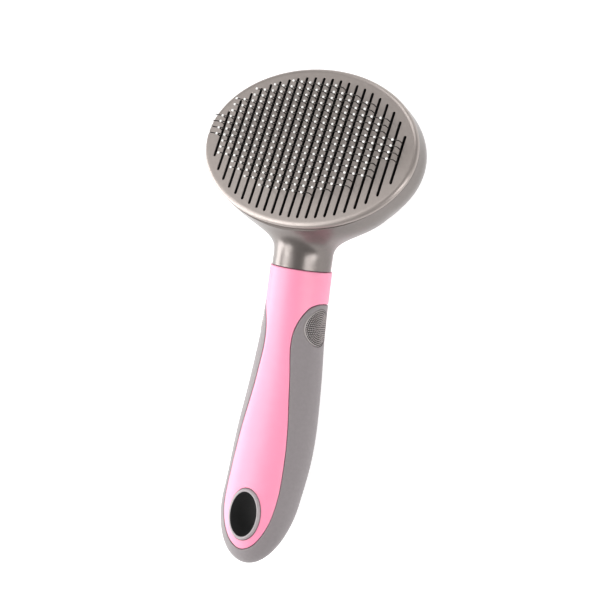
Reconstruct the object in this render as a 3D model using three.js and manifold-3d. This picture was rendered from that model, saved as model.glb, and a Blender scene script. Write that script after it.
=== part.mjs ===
// Self-cleaning slicker brush, lying on its back with the wire pins up.
// Millimetres, +Z up, +Y towards the top of the head, X across the head.
//
// Three frames are nested:
//   brush   stands on z = 0
//   head    origin at the centre of the face plate's front, z straight out of the plate
//   handle  origin where the handle meets the neck, y back along the handle towards the head
import * as THREE from 'three';
import { mergeVertices } from 'three/addons/utils/BufferGeometryUtils.js';
import Module from 'manifold-3d';

const wasm = await Module();
wasm.setup();

// Placing
const REST_TILT = THREE.MathUtils.degToRad(10);
const HANDLE_LEAN = THREE.MathUtils.degToRad(14.5);
const HANDLE_ROOT = new THREE.Vector3(0, -43.9, -24.6);
const GAP = 0.3;
const FAR = 80;
// Cutting solids run past what they cut, and joined solids reach into each other
const PAST = 5;
const LAP = 0.5;

// Face plate and its slots
const PLATE = { halfX: 49.5, halfY: 34, thick: 2.3, round: 1.5 };
const SLOT = { count: 22, pitch: 4, width: 1.15, halfX: 44.6, top: 29.9, bottom: 30.4 };
const POST = { x: 12, y: 9.4, width: 1.4, length: 4.4, end: -22.4 };

// Wire pins, in an oval field around a middle line; rows come in pairs of equal length
const PIN = { spacing: 2.67, wire: 0.5, knee: 3.5, tip: 9.3, lean: 1.7 };
const PIN_FIELD = { middle: 2.6, halfX: 41.2, halfY: 23.2 };
const COMB = { top: -3.3, bottom: -5.7, overhang: 1 };

// Fixed base that carries the pins
const BASE = { halfX: 46.9, halfY: 31.4, front: -3, rear: -6.8, grooveFloor: -6, grooveWidth: 1.1 };
const BOSS = { x: 32, y: 11, radius: 4, bore: 1.2, counterbore: 2.7, land: -13.1 };
const SCREW = { head: 2.3, headThick: 1.6, shank: 0.9, bite: 2.4 };

// Rear shell
const SHELL = { halfX: 49.3, halfY: 33.8, front: -2.6, straightTo: -6, depth: 21.9, wall: 1.8, power: 2.4 };
const NECK = { radius: 12.2, rise: -0.06, tangRadius: 6.6, tangLength: 31, tangDrop: -1.3, clearance: 0.4 };
// The neck fans out into the shell: how much its width, front and back grow between two
// distances before the handle
const FLARE = { from: 7, to: 29, wide: 1.4, front: 0.3, back: -0.5, rings: [27, 23, 19, 15, 11, 7, 0] };

// Push button in the back of the head
const KNOB = { halfX: 15, halfY: 11.2, clearance: 0.4, wall: 2.7, holeFront: -20 };
const FLANGE = { halfX: 23, halfY: 16.5, front: -20.4, rear: -22.6 };
const STOP = { halfX: 17, halfY: 12.2, rear: -24.8 };
const SPRING = { x: 16.8, radius: 3.1, wire: 0.3, turns: 5, spigot: 2, spigotHeight: 3 };

// Handle: half width, half thickness and rise of the mid-line at equal steps along it
const STATION_STEP = 24;
const STATIONS = [
  new THREE.Vector3(12.8, 12.8, 0),
  new THREE.Vector3(13.35, 12.4, -2.3),
  new THREE.Vector3(15.7, 12.3, -3.9),
  new THREE.Vector3(17.6, 12.85, -3.75),
  new THREE.Vector3(17.2, 12.5, -2),
];
const HANDLE = { length: 123.8, capFrom: 96, capRise: 2.6, rings: 9, sides: 22 };
// Towards its end the handle thins from the back, so its front keeps its line
const THINNING = { from: 80, amount: 3 };
const SKIN = { grip: 1.9, core: 2.2, pad: 1.6 };
const COLLAR_END = 13.2;
const EYELET = { along: 103.1, outerX: 7.5, outerY: 10.65, innerX: 6, innerY: 8.9 };
const PAD = { along: 23, rise: -0.9, halfY: 7.5, halfZ: 6.8, inside: 0.5, outside: 30.5 };
const COLLAR_SCREW = { along: 7.5, land: -10, tip: -2 };

// Half width of the pink front panel against the distance along the handle
const PANEL_EDGE = [
  [13.6, 13.2], [10.9, 15.6], [7.7, 22.8], [6.25, 32.5], [9.2, 53.6],
  [12.1, 78], [12.5, 97], [9.7, 109], [5.2, 115.6],
];
const PANEL_TIP = 117.8;
const PANEL_REAR = -1.5;

const FINISH = {
  shell: { color: 0xa39a94, roughness: 0.38, metalness: 0.35 },
  plate: { color: 0xa8a09a, roughness: 0.42, metalness: 0.3 },
  inner: { color: 0x6f6c6a, roughness: 0.6, metalness: 0 },
  steel: { color: 0xb9b9bb, roughness: 0.25, metalness: 1 },
  pink: { color: 0xf79ab8, roughness: 0.35, metalness: 0 },
  rubber: { color: 0x8b8788, roughness: 0.75, metalness: 0 },
};

// ---------- solids ----------

function solidOf(geometry) {
  const bare = geometry.index ? geometry.toNonIndexed() : geometry.clone();
  bare.deleteAttribute('normal');
  bare.deleteAttribute('uv');
  const merged = mergeVertices(bare, 1e-4);
  const mesh = new wasm.Mesh({
    numProp: 3,
    vertProperties: new Float32Array(merged.attributes.position.array),
    triVerts: new Uint32Array(merged.index.array),
  });
  return new wasm.Manifold(mesh);
}

function geometryOf(solid) {
  const mesh = solid.getMesh();
  const geometry = new THREE.BufferGeometry();
  geometry.setAttribute('position', new THREE.BufferAttribute(mesh.vertProperties, 3));
  geometry.setIndex(new THREE.BufferAttribute(mesh.triVerts, 1));
  return geometry;
}

const join = (first, ...rest) => rest.reduce((sum, next) => sum.add(next), first);
const cut = (first, ...rest) => rest.reduce((left, next) => left.subtract(next), first);

// ---------- shapes ----------

function ovalShape(halfX, halfY) {
  return new THREE.Shape().absellipse(0, 0, halfX, halfY, 0, Math.PI * 2);
}

function prism(shape, low, high, curveSegments = 24) {
  const options = { depth: high - low, bevelEnabled: false, curveSegments };
  return new THREE.ExtrudeGeometry(shape, options).translate(0, 0, low);
}

function ovalBar(halfX, halfY, low, high, curveSegments = 24) {
  return solidOf(prism(ovalShape(halfX, halfY), low, high, curveSegments));
}

function roundBar(x, y, radius, low, high) {
  const geometry = new THREE.CylinderGeometry(radius, radius, high - low, 12);
  geometry.rotateX(Math.PI / 2).translate(x, y, (low + high) / 2);
  return solidOf(geometry);
}

function block(x, y, z, sizeX, sizeY, sizeZ) {
  return solidOf(new THREE.BoxGeometry(sizeX, sizeY, sizeZ).translate(x, y, z));
}

function mirrorPairs(x, y) {
  return [[x, y], [-x, y], [-x, -y], [x, -y]];
}

function slotShape(x, bottom, top, width) {
  const radius = width / 2;
  const shape = new THREE.Shape();
  shape.moveTo(x + radius, bottom + radius);
  shape.lineTo(x + radius, top - radius);
  shape.absarc(x, top - radius, radius, 0, Math.PI, false);
  shape.lineTo(x - radius, bottom + radius);
  shape.absarc(x, bottom + radius, radius, Math.PI, Math.PI * 2, false);
  return shape;
}

const slotX = (row) => (row - (SLOT.count - 1) / 2) * SLOT.pitch;
const slotReach = (x) => Math.sqrt(1 - (x / SLOT.halfX) ** 2);

// A bowl open at the front: straight sides, then a rounded back
function bowl(halfX, halfY, front, depth) {
  const profile = [new THREE.Vector2(0, SHELL.straightTo - depth)];
  const steps = 6;
  for (let i = 1; i <= steps; i += 1) {
    const angle = (i / steps) * Math.PI / 2;
    const radius = Math.sin(angle) ** (2 / SHELL.power);
    const drop = Math.cos(angle) ** (2 / SHELL.power);
    profile.push(new THREE.Vector2(radius, SHELL.straightTo - depth * (i === steps ? 0 : drop)));
  }
  profile.push(new THREE.Vector2(1, front), new THREE.Vector2(0, front));
  const geometry = new THREE.LatheGeometry(profile, 40);
  geometry.scale(halfX, 1, halfY).rotateX(Math.PI / 2);
  return solidOf(geometry);
}

// ---------- handle loft ----------

const stationCurve = new THREE.CatmullRomCurve3(STATIONS, false, 'catmullrom', 0.5);

// Half width, half thickness and rise of the handle at a distance along it
function handleSection(along, inset) {
  const span = STATION_STEP * (STATIONS.length - 1);
  const section = stationCurve.getPoint(THREE.MathUtils.clamp(along / span, 0, 1));
  const capLength = HANDLE.length - inset - HANDLE.capFrom;
  const into = THREE.MathUtils.clamp((along - HANDLE.capFrom) / capLength, 0, 1);
  const taper = Math.sqrt(1 - into ** 2);
  const thinned = THINNING.amount * THREE.MathUtils.smoothstep(along, THINNING.from, HANDLE.length);
  return {
    halfX: Math.max((section.x - inset) * taper, 0.02),
    halfZ: Math.max((section.y - thinned - inset) * taper, 0.02),
    rise: section.z + thinned + HANDLE.capRise * into,
  };
}

// A closed loft from a cylinder whose rings are moved to the sections
function loft(sections, sides) {
  const geometry = new THREE.CylinderGeometry(1, 1, 1, sides, sections.length - 1);
  const position = geometry.attributes.position;
  const point = new THREE.Vector3();
  for (let i = 0; i < position.count; i += 1) {
    point.fromBufferAttribute(position, i);
    const ring = Math.round((0.5 - point.y) * (sections.length - 1));
    const section = sections[ring];
    const z = section.rise + point.z * section.halfZ;
    position.setXYZ(i, point.x * section.halfX, -section.along, z);
  }
  return solidOf(geometry);
}

function handleLoft(inset, start) {
  const sections = [];
  for (let i = 0; i <= HANDLE.rings; i += 1) {
    const along = start + (HANDLE.capFrom - start) * (i / HANDLE.rings);
    sections.push({ along, ...handleSection(along, inset) });
  }
  const capRings = 5;
  const capLength = HANDLE.length - inset - HANDLE.capFrom;
  for (let i = 1; i <= capRings; i += 1) {
    const along = HANDLE.capFrom + capLength * Math.sin((i / capRings) * Math.PI / 2);
    sections.push({ along, ...handleSection(along, inset) });
  }
  return loft(sections, HANDLE.sides);
}

// Front panel, seen square on, open at the neck; grow widens it all round
function panelPrism(grow) {
  const right = PANEL_EDGE.map(([x, along]) => new THREE.Vector2(x + grow, -along));
  const left = right.map((p) => new THREE.Vector2(-p.x, p.y)).reverse();
  const tip = new THREE.Vector2(0, -PANEL_TIP - grow);
  const shape = new THREE.Shape();
  shape.moveTo(-FAR, 1);
  shape.lineTo(-FAR, -COLLAR_END - grow);
  shape.lineTo(left[left.length - 1].x, -COLLAR_END - grow);
  shape.splineThru([...left.slice(0, -1).reverse(), tip, ...right.slice(1).reverse()]);
  shape.lineTo(right[0].x, -COLLAR_END - grow);
  shape.lineTo(FAR, -COLLAR_END - grow);
  shape.lineTo(FAR, 1);
  return solidOf(prism(shape, PANEL_REAR, FAR, 2));
}

const handleMatrix = new THREE.Matrix4()
  .makeRotationX(HANDLE_LEAN)
  .setPosition(HANDLE_ROOT);

function handleToHead(solid) {
  return solidOf(geometryOf(solid).applyMatrix4(handleMatrix));
}

// ---------- head parts ----------

function facePlate() {
  const blank = new THREE.ExtrudeGeometry(
    ovalShape(PLATE.halfX - PLATE.round, PLATE.halfY - PLATE.round),
    {
      depth: PLATE.thick,
      curveSegments: 24,
      bevelThickness: PLATE.round,
      bevelSize: PLATE.round,
      bevelSegments: 2,
    },
  );
  blank.translate(0, 0, -PLATE.round - PLATE.thick);
  let plate = cut(solidOf(blank), block(0, 0, -PLATE.thick - FAR / 2, 2 * FAR, 2 * FAR, FAR));
  for (let row = 0; row < SLOT.count; row += 1) {
    const x = slotX(row);
    const shape = slotShape(x, -SLOT.bottom * slotReach(x), SLOT.top * slotReach(x), SLOT.width);
    plate = cut(plate, solidOf(prism(shape, -PLATE.thick - 1, 1, 2)));
  }
  for (const [x, y] of mirrorPairs(POST.x, POST.y)) {
    const height = -PLATE.thick / 2 - POST.end;
    plate = join(plate, block(x, y, POST.end + height / 2, POST.width, POST.length, height));
  }
  return plate;
}

// Where the pins of a row stand, from the top of the head down
function pinRoots(row) {
  const pairX = (slotX(row - (row % 2)) + slotX(row - (row % 2) + 1)) / 2;
  const reach = PIN_FIELD.halfY * Math.sqrt(1 - (pairX / PIN_FIELD.halfX) ** 2);
  const count = 2 * Math.floor(reach / PIN.spacing + 0.5);
  const roots = [];
  for (let i = 0; i < count; i += 1) {
    roots.push(PIN_FIELD.middle + ((count - 1) / 2 - i) * PIN.spacing);
  }
  return roots;
}

// One row of pins on the strip that seats it in the base
function pinRow(row) {
  const x = slotX(row);
  const roots = pinRoots(row);
  const high = roots[0] + COMB.overhang;
  const low = roots[roots.length - 1] - COMB.overhang;
  const half = PIN.wire / 2;
  const shape = new THREE.Shape();
  shape.moveTo(high, COMB.bottom);
  shape.lineTo(high, COMB.top);
  for (const y of roots) {
    shape.lineTo(y + half, COMB.top);
    shape.lineTo(y + half, PIN.knee);
    shape.lineTo(y - PIN.lean, PIN.tip);
    shape.lineTo(y - half, PIN.knee);
    shape.lineTo(y - half, COMB.top);
  }
  shape.lineTo(low, COMB.top);
  shape.lineTo(low, COMB.bottom);
  const geometry = prism(shape, x - half, x + half);
  const turn = new THREE.Matrix4().makeBasis(
    new THREE.Vector3(0, 1, 0),
    new THREE.Vector3(0, 0, 1),
    new THREE.Vector3(1, 0, 0),
  );
  return geometry.applyMatrix4(turn);
}

function pinBase() {
  let base = ovalBar(BASE.halfX, BASE.halfY, BASE.rear, BASE.front);
  for (let row = 0; row < SLOT.count; row += 1) {
    const roots = pinRoots(row);
    const length = roots[0] - roots[roots.length - 1] + 2 * (COMB.overhang + 2 * GAP);
    const depth = BASE.front + 1 - BASE.grooveFloor;
    const z = BASE.grooveFloor + depth / 2;
    base = cut(base, block(slotX(row), PIN_FIELD.middle, z, BASE.grooveWidth, length, depth));
  }
  for (const [x, y] of mirrorPairs(POST.x, POST.y)) {
    base = cut(base, block(x, y, BASE.front, POST.width + 2 * GAP, POST.length + 2 * GAP, 2 * PAST));
  }
  for (const [x, y] of mirrorPairs(BOSS.x, BOSS.y)) {
    base = cut(base, roundBar(x, y, BOSS.bore, BASE.rear - 1, BASE.front - 2 * GAP));
  }
  return base;
}

// Flared neck and the tang that goes into the handle, in the handle frame
function neckAndTang() {
  const sections = FLARE.rings.map((before) => {
    const grown = THREE.MathUtils.smoothstep(before, FLARE.from, FLARE.to);
    const front = NECK.radius * (1 + FLARE.front * grown);
    const back = NECK.radius * (1 + FLARE.back * grown);
    return {
      along: -before,
      halfX: NECK.radius * (1 + FLARE.wide * grown),
      halfZ: (front + back) / 2,
      rise: (front - back) / 2 - NECK.rise * before,
    };
  });
  const tang = new THREE.CylinderGeometry(NECK.tangRadius, NECK.tangRadius, NECK.tangLength + 2 * LAP, 16);
  tang.translate(0, LAP - NECK.tangLength / 2, NECK.tangDrop);
  const pilot = roundBar(0, -COLLAR_SCREW.along, BOSS.bore, -FAR, COLLAR_SCREW.tip + GAP);
  return handleToHead(cut(join(loft(sections, HANDLE.sides), solidOf(tang)), pilot));
}

function rearShell() {
  const outer = bowl(SHELL.halfX, SHELL.halfY, SHELL.front, SHELL.depth);
  const wall = SHELL.wall;
  const hollow = bowl(SHELL.halfX - wall, SHELL.halfY - wall, PAST, SHELL.depth - wall);
  const trim = block(0, 0, SHELL.front + FAR / 2, 2 * FAR, 2 * FAR, FAR);
  let shell = cut(join(outer, neckAndTang()), hollow, trim);
  for (const [x, y] of mirrorPairs(BOSS.x, BOSS.y)) {
    const post = roundBar(x, y, BOSS.radius, -FAR, BASE.rear - GAP);
    shell = join(shell, post.intersect(outer));
  }
  for (const [x, y] of mirrorPairs(BOSS.x, BOSS.y)) {
    shell = cut(shell, roundBar(x, y, BOSS.counterbore, -FAR, BOSS.land));
    shell = cut(shell, roundBar(x, y, BOSS.bore, -FAR, 0));
  }
  const hole = ovalBar(KNOB.halfX + KNOB.clearance, KNOB.halfY + KNOB.clearance, -FAR, KNOB.holeFront, 12);
  return cut(shell, hole);
}

// A half-space below a level plane of the resting brush, given in the head frame
function belowRestLevel(level) {
  const geometry = new THREE.BoxGeometry(2 * FAR, 2 * FAR, FAR).translate(0, 0, level - FAR / 2);
  return solidOf(geometry.rotateX(REST_TILT));
}

function pushButton(restLevel) {
  const knob = cut(ovalBar(KNOB.halfX, KNOB.halfY, -FAR, FLANGE.rear, 12), belowRestLevel(restLevel));
  const flange = ovalBar(FLANGE.halfX, FLANGE.halfY, FLANGE.rear, FLANGE.front, 16);
  const stop = ovalBar(STOP.halfX, STOP.halfY, STOP.rear, FLANGE.rear + LAP, 12);
  const well = ovalBar(KNOB.halfX - KNOB.wall, KNOB.halfY - KNOB.wall, -FAR, 0, 12);
  let button = cut(join(knob, flange, stop), cut(well, belowRestLevel(restLevel + KNOB.wall)));
  for (const side of [-1, 1]) {
    const spigotTop = FLANGE.front + SPRING.spigotHeight;
    button = join(button, roundBar(side * SPRING.x, 0, SPRING.spigot, FLANGE.rear + LAP, spigotTop));
  }
  for (const [x, y] of mirrorPairs(POST.x, POST.y)) {
    const opening = block(x, y, FLANGE.front, POST.width + 2 * GAP, POST.length + 2 * GAP, 2 * PAST);
    button = cut(button, opening);
  }
  return button;
}

class Helix extends THREE.Curve {
  constructor(radius, turns, low, high) {
    super();
    Object.assign(this, { radius, turns, low, high });
  }

  getPoint(t, target = new THREE.Vector3()) {
    const angle = t * this.turns * Math.PI * 2;
    const z = THREE.MathUtils.lerp(this.low, this.high, t);
    return target.set(Math.cos(angle) * this.radius, Math.sin(angle) * this.radius, z);
  }
}

function returnSpring(side) {
  const low = FLANGE.front + GAP + SPRING.wire;
  const high = BASE.rear - GAP - SPRING.wire;
  const path = new Helix(SPRING.radius, SPRING.turns, low, high);
  const wire = new THREE.Shape().absarc(0, 0, SPRING.wire, 0, Math.PI * 2);
  const options = { steps: SPRING.turns * 10, curveSegments: 2, extrudePath: path, bevelEnabled: false };
  return new THREE.ExtrudeGeometry(wire, options).translate(side * SPRING.x, 0, 0);
}

// A screw along z with its head at the low end
function screw(x, y, headTop, tip) {
  const head = roundBar(x, y, SCREW.head, headTop - SCREW.headThick, headTop);
  return join(head, roundBar(x, y, SCREW.shank, headTop - LAP, tip));
}

// ---------- handle parts ----------

function eyeletBar(grow) {
  const bar = ovalBar(EYELET.outerX + grow, EYELET.outerY + grow, -FAR, FAR, 12);
  return bar.translate([0, -EYELET.along, 0]);
}

function hangingEyelet() {
  const hole = ovalBar(EYELET.innerX, EYELET.innerY, -FAR, FAR, 12).translate([0, -EYELET.along, 0]);
  return cut(eyeletBar(0), hole).intersect(handleLoft(0, GAP));
}

function collarBlock(extra) {
  return block(0, FAR - COLLAR_END - extra, 0, 2 * FAR, 2 * FAR, 2 * FAR);
}

function handleCore() {
  const outer = handleLoft(0, GAP);
  const panel = join(panelPrism(0), collarBlock(0)).intersect(outer);
  const raised = cut(panel, padBar(1, GAP), padBar(-1, GAP));
  const socketRadius = NECK.tangRadius + NECK.clearance;
  const socketDepth = NECK.tangLength + PAST / 2;
  const socket = new THREE.CylinderGeometry(socketRadius, socketRadius, 2 * socketDepth, 16);
  socket.translate(0, 0, NECK.tangDrop);
  const seat = roundBar(0, -COLLAR_SCREW.along, BOSS.counterbore, -FAR, COLLAR_SCREW.land);
  const bore = roundBar(0, -COLLAR_SCREW.along, BOSS.bore, -FAR, 0);
  return cut(join(handleLoft(SKIN.core, GAP), raised), solidOf(socket), seat, bore, eyeletBar(GAP));
}

// An oval bar across the side of the handle; grow widens it all round
function padBar(side, grow) {
  const geometry = new THREE.CylinderGeometry(1, 1, PAD.outside - PAD.inside, 24).rotateZ(Math.PI / 2);
  geometry.scale(1, PAD.halfY + grow, PAD.halfZ + grow);
  const middle = side * (PAD.outside + PAD.inside) / 2;
  return solidOf(geometry.translate(middle, -PAD.along, PAD.rise));
}

function gripOvermold() {
  const shell = cut(handleLoft(0, GAP), handleLoft(SKIN.grip, -PAST));
  return cut(
    shell,
    panelPrism(GAP),
    collarBlock(GAP),
    eyeletBar(GAP),
    padBar(1, GAP),
    padBar(-1, GAP),
  );
}

function thumbPad(side) {
  return padBar(side, 0).intersect(cut(handleLoft(0, GAP), handleLoft(SKIN.pad, -PAST)));
}

// ---------- assembly ----------

const brush = new THREE.Group();
const head = new THREE.Group();
const handle = new THREE.Group();
head.rotation.x = -REST_TILT;
handle.rotation.x = HANDLE_LEAN;
handle.position.copy(HANDLE_ROOT);
brush.add(head);
head.add(handle);

function addPart(group, name, shape, finish) {
  const geometry = shape instanceof THREE.BufferGeometry ? shape : geometryOf(shape);
  const mesh = new THREE.Mesh(geometry, new THREE.MeshStandardMaterial(FINISH[finish]));
  mesh.name = name;
  group.add(mesh);
  return mesh;
}

// Lowest point of a mesh while the brush lies with the head tilted but not yet lifted
function lowestPoint(mesh) {
  brush.updateMatrixWorld(true);
  return new THREE.Box3().setFromObject(mesh, true).min.z;
}

addPart(handle, 'handle_core', handleCore(), 'pink');
const grip = addPart(handle, 'grip_overmold', gripOvermold(), 'rubber');
addPart(handle, 'hanging_eyelet', hangingEyelet(), 'rubber');
addPart(handle, 'thumb_pad_right', thumbPad(1), 'rubber');
addPart(handle, 'thumb_pad_left', thumbPad(-1), 'rubber');
const collarHead = COLLAR_SCREW.land - GAP;
addPart(handle, 'handle_screw', screw(0, -COLLAR_SCREW.along, collarHead, COLLAR_SCREW.tip), 'steel');

addPart(head, 'rear_shell', rearShell(), 'shell');
addPart(head, 'face_plate', facePlate(), 'plate');
addPart(head, 'pin_base', pinBase(), 'inner');
for (let row = 0; row < SLOT.count; row += 1) {
  addPart(head, `pin_row_${String(row + 1).padStart(2, '0')}`, pinRow(row), 'steel');
}
addPart(head, 'push_button', pushButton(lowestPoint(grip)), 'pink');
addPart(head, 'return_spring_right', returnSpring(1), 'steel');
addPart(head, 'return_spring_left', returnSpring(-1), 'steel');
mirrorPairs(BOSS.x, BOSS.y).forEach(([x, y], index) => {
  addPart(head, `base_screw_${index + 1}`, screw(x, y, BOSS.land - GAP, BASE.rear + SCREW.bite), 'steel');
});

// Stand the brush on z = 0 with its footprint centred on the origin
brush.updateMatrixWorld(true);
const box = new THREE.Box3().setFromObject(brush, true);
brush.position.set(0, -(box.min.y + box.max.y) / 2, -box.min.z);

export default brush;
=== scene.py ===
"""Self-cleaning slicker brush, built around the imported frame.

Shapes are worked out in millimetres, in the head frame (origin at the centre of the face plate's front, z out
of the plate) or in the handle frame (origin at the neck, y back along the handle), and then placed in metres.
"""

import math
import random

import bmesh
import bpy
import numpy as np
from mathutils import Matrix, Vector


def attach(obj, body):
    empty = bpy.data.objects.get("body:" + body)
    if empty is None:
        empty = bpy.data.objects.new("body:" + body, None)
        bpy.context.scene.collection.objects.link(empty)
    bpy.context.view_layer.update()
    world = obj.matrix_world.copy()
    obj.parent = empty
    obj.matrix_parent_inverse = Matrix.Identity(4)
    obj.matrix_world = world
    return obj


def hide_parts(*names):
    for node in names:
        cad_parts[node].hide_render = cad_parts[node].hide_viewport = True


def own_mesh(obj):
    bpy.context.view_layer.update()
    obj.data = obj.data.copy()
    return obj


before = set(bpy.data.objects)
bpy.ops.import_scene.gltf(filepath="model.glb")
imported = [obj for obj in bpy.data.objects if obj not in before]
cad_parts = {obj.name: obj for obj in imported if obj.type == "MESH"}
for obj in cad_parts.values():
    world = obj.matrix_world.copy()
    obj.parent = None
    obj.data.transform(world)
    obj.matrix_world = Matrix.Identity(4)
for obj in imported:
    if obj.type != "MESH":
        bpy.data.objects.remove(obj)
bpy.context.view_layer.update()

# ---------- dimensions, mm ----------

HEAD_TILT = math.radians(10)
HANDLE_LEAN = math.radians(14.5)
HEAD_ORIGIN = Vector((0, 68.991, 38.888))
HANDLE_ROOT = Vector((0, -43.9, -24.6))

PLATE = dict(half_x=49.5, half_y=34.0, thick=2.3, edge=2.1, drop=1.7)
SLOT = dict(count=22, pitch=4.0, width=1.15, half_x=44.6, top=29.9, bottom=30.4, bevel=0.15)
POST = dict(x=12.0, y=9.4, width=1.4, length=4.4, end=-22.4, gap=0.3)
PIN = dict(spacing=2.67, wire=0.22, knee=3.5, bead_z=8.8, lean=1.65, bend=0.9, bead=0.51, sway=0.05)
PIN_FIELD = dict(middle=2.6, half_x=41.2, half_y=23.2)
COMB = dict(top=-3.3, bottom=-5.7, overhang=1.0)

BASE_REAR = -6.8
BOSS = dict(x=32.0, y=11.0, radius=4.0, bore=1.2, counterbore=2.7, land=-13.1, gap=0.3)
SCREW = dict(head=2.3, head_thick=1.6, shank=0.9, gap=0.3, bite=2.4)
RECESS = dict(length=2.4, width=0.55, depth=1.4)
SHELL = dict(half_x=49.3, half_y=33.8, front=-2.6, straight_to=-6.0, depth=21.9, wall=1.8, power=2.4)
NECK = dict(
    radius=12.2, rise=-0.06, fillet=11.0, start=-27.0, clearance=0.4,
    tang_radius=6.6, tang_length=31.0, tang_drop=-1.3)
FLARE = {"from": 7.0, "to": 29.0, "wide": 1.4, "front": 0.3, "back": -0.5}
SEAM_LEAN = 0.07

KNOB = dict(half_x=15.0, half_y=11.2, clearance=0.4, edge=1.8, hole_front=-20)
# Raised ring on the button's face: inset from the edge, and lift
KNOB_RING = ((3.2, 0), (3.5, 0.3), (4.1, 0.3), (4.4, 0))
FLANGE = dict(half_x=23.0, half_y=16.5, front=-20.4, rear=-22.6)
STOP = dict(half_x=17.0, half_y=12.2, rear=-24.8)
SPIGOT = dict(radius=2.0, height=3.0, chamfer=0.4, sunk=0.5)
SPRING = dict(x=16.8, radius=3.1, wire=0.3, turns=5, low=-19.8, high=-7.4)

STATION_STEP = 24.0
STATIONS = np.array([
    (12.8, 12.8, 0.0),
    (13.35, 12.4, -2.3),
    (15.7, 12.3, -3.9),
    (17.6, 12.85, -3.75),
    (17.2, 12.5, -2.0),
])
HANDLE = dict(length=123.8, cap_from=96.0, cap_rise=2.6, thin_from=80.0, thinning=3.0)
SKIN = dict(grip=1.8, core=2.2, panel=2.8)
COLLAR_END = 13.2
SEAM = dict(half_gap=0.16, lip=0.42)
EYELET = dict(
    along=103.1, outer_x=7.5, outer_y=10.65, inner_x=6.0, inner_y=8.9,
    lift=0.75, back_lift=0.25, draft=1.1, gap=0.3)
# field and groove are shares of the way to the pad's edge; within field the pad takes painted shade, and out
# to groove a darker painted shade
PAD = dict(
    along=23.0, rise=-0.9, half_y=7.5, half_z=6.8, rings=9, dot=0.3, sunk=0.3,
    field=0.92, groove=0.955, reach=30, gap=0.32)
COLLAR_SCREW = dict(along=7.5, land=-10.0, tip=-2.0)

# Cutting solids run this far from the middle, past all that they cut
PAST_HEAD, PAST_HANDLE = 60, 40

# Edge of the pink front panel: degrees round from the front, distance along the handle
PANEL_EDGE = [
    (88, 13.2), (72, 13.8), (55.5, 15.65), (39, 20.7), (30, 26), (27, 32.2), (30.5, 43.6), (34, 53.6),
    (39, 65.6), (43, 77.8), (46.6, 95), (43.3, 105), (35, 112), (22, 116.1),
]
PANEL_TIP = 117.8

# ---------- placing ----------

MM = Matrix.Scale(0.001, 4)
HEAD = MM @ Matrix.Translation(HEAD_ORIGIN) @ Matrix.Rotation(-HEAD_TILT, 4, "X")
HANDLE_IN_HEAD = Matrix.Translation(HANDLE_ROOT) @ Matrix.Rotation(HANDLE_LEAN, 4, "X")
GRIP = HEAD @ HANDLE_IN_HEAD


def rest_height(y):
    """z in the head frame of the table, at a point y up the head."""
    return (-HEAD_ORIGIN.z + math.sin(HEAD_TILT) * y) / math.cos(HEAD_TILT)


# ---------- mesh helpers ----------

def mesh_from(verts, faces):
    mesh = bpy.data.meshes.new("shape")
    mesh.from_pydata([tuple(v) for v in verts], [], [tuple(int(k) for k in f) for f in faces])
    mesh.validate()
    bm = bmesh.new()
    bm.from_mesh(mesh)
    bmesh.ops.recalc_face_normals(bm, faces=bm.faces)
    bm.to_mesh(mesh)
    bm.free()
    return mesh


def combine(first, second, operation):
    """The union or difference of two closed meshes."""
    a = bpy.data.objects.new("a", first)
    b = bpy.data.objects.new("b", second)
    for o in (a, b):
        bpy.context.scene.collection.objects.link(o)
    modifier = a.modifiers.new("op", "BOOLEAN")
    modifier.operation = operation
    modifier.solver = "MANIFOLD"
    modifier.object = b
    bpy.context.view_layer.update()
    graph = bpy.context.evaluated_depsgraph_get()
    result = bpy.data.meshes.new_from_object(a.evaluated_get(graph))
    for o in (a, b):
        bpy.data.objects.remove(o)
    return result


def cut(mesh, *tools):
    for tool in tools:
        mesh = combine(mesh, tool, "DIFFERENCE")
    return mesh


def joined(*meshes):
    """Several separate closed shapes in one mesh."""
    bm = bmesh.new()
    for mesh in meshes:
        bm.from_mesh(mesh)
    result = bpy.data.meshes.new("shape")
    bm.to_mesh(result)
    bm.free()
    return result


def add_piece(name, mesh, matrix, materials, body, nodes, sharp=35):
    mesh.transform(matrix)
    mesh.name = name
    finish = [polygon.material_index for polygon in mesh.polygons]
    mesh.materials.clear()
    for material in materials if isinstance(materials, list) else [materials]:
        mesh.materials.append(material)
    mesh.polygons.foreach_set("material_index", finish if isinstance(materials, list) else [0] * len(finish))
    mesh.polygons.foreach_set("use_smooth", [True] * len(mesh.polygons))
    mesh.set_sharp_from_angle(angle=math.radians(sharp))
    mesh.update()
    piece = bpy.data.objects.new(name, mesh)
    bpy.context.scene.collection.objects.link(piece)
    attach(piece, body)
    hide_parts(*nodes)
    return piece


def band(first, second, count):
    """Quads between two rings of points, given the number of each ring's first point."""
    return [(first + j, first + (j + 1) % count, second + (j + 1) % count, second + j) for j in range(count)]


def ring_stack(rings):
    """Closed skin through rings of equally many points, with a flat fan at each end."""
    count = len(rings[0])
    verts = [p for ring in rings for p in ring]
    faces = []
    for i in range(len(rings) - 1):
        faces += band(i * count, (i + 1) * count, count)
    for i, ring in ((0, rings[0]), (len(rings) - 1, rings[-1])):
        verts.append(np.mean(np.array(ring), axis=0))
        for j in range(count):
            faces.append((i * count + j, i * count + (j + 1) % count, len(verts) - 1))
    return mesh_from(verts, faces)


def oval(half_x, half_y, z, count=96, centre=(0.0, 0.0)):
    turn = np.arange(count) * 2 * math.pi / count
    x = centre[0] + half_x * np.cos(turn)
    y = centre[1] + half_y * np.sin(turn)
    height = z(x, y) if callable(z) else np.full(count, float(z))
    return np.stack([x, y, height], -1)


def bar(half_x, half_y, low, high, centre=(0.0, 0.0), count=96):
    return ring_stack([oval(half_x, half_y, z, count, centre) for z in (low, high)])


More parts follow.
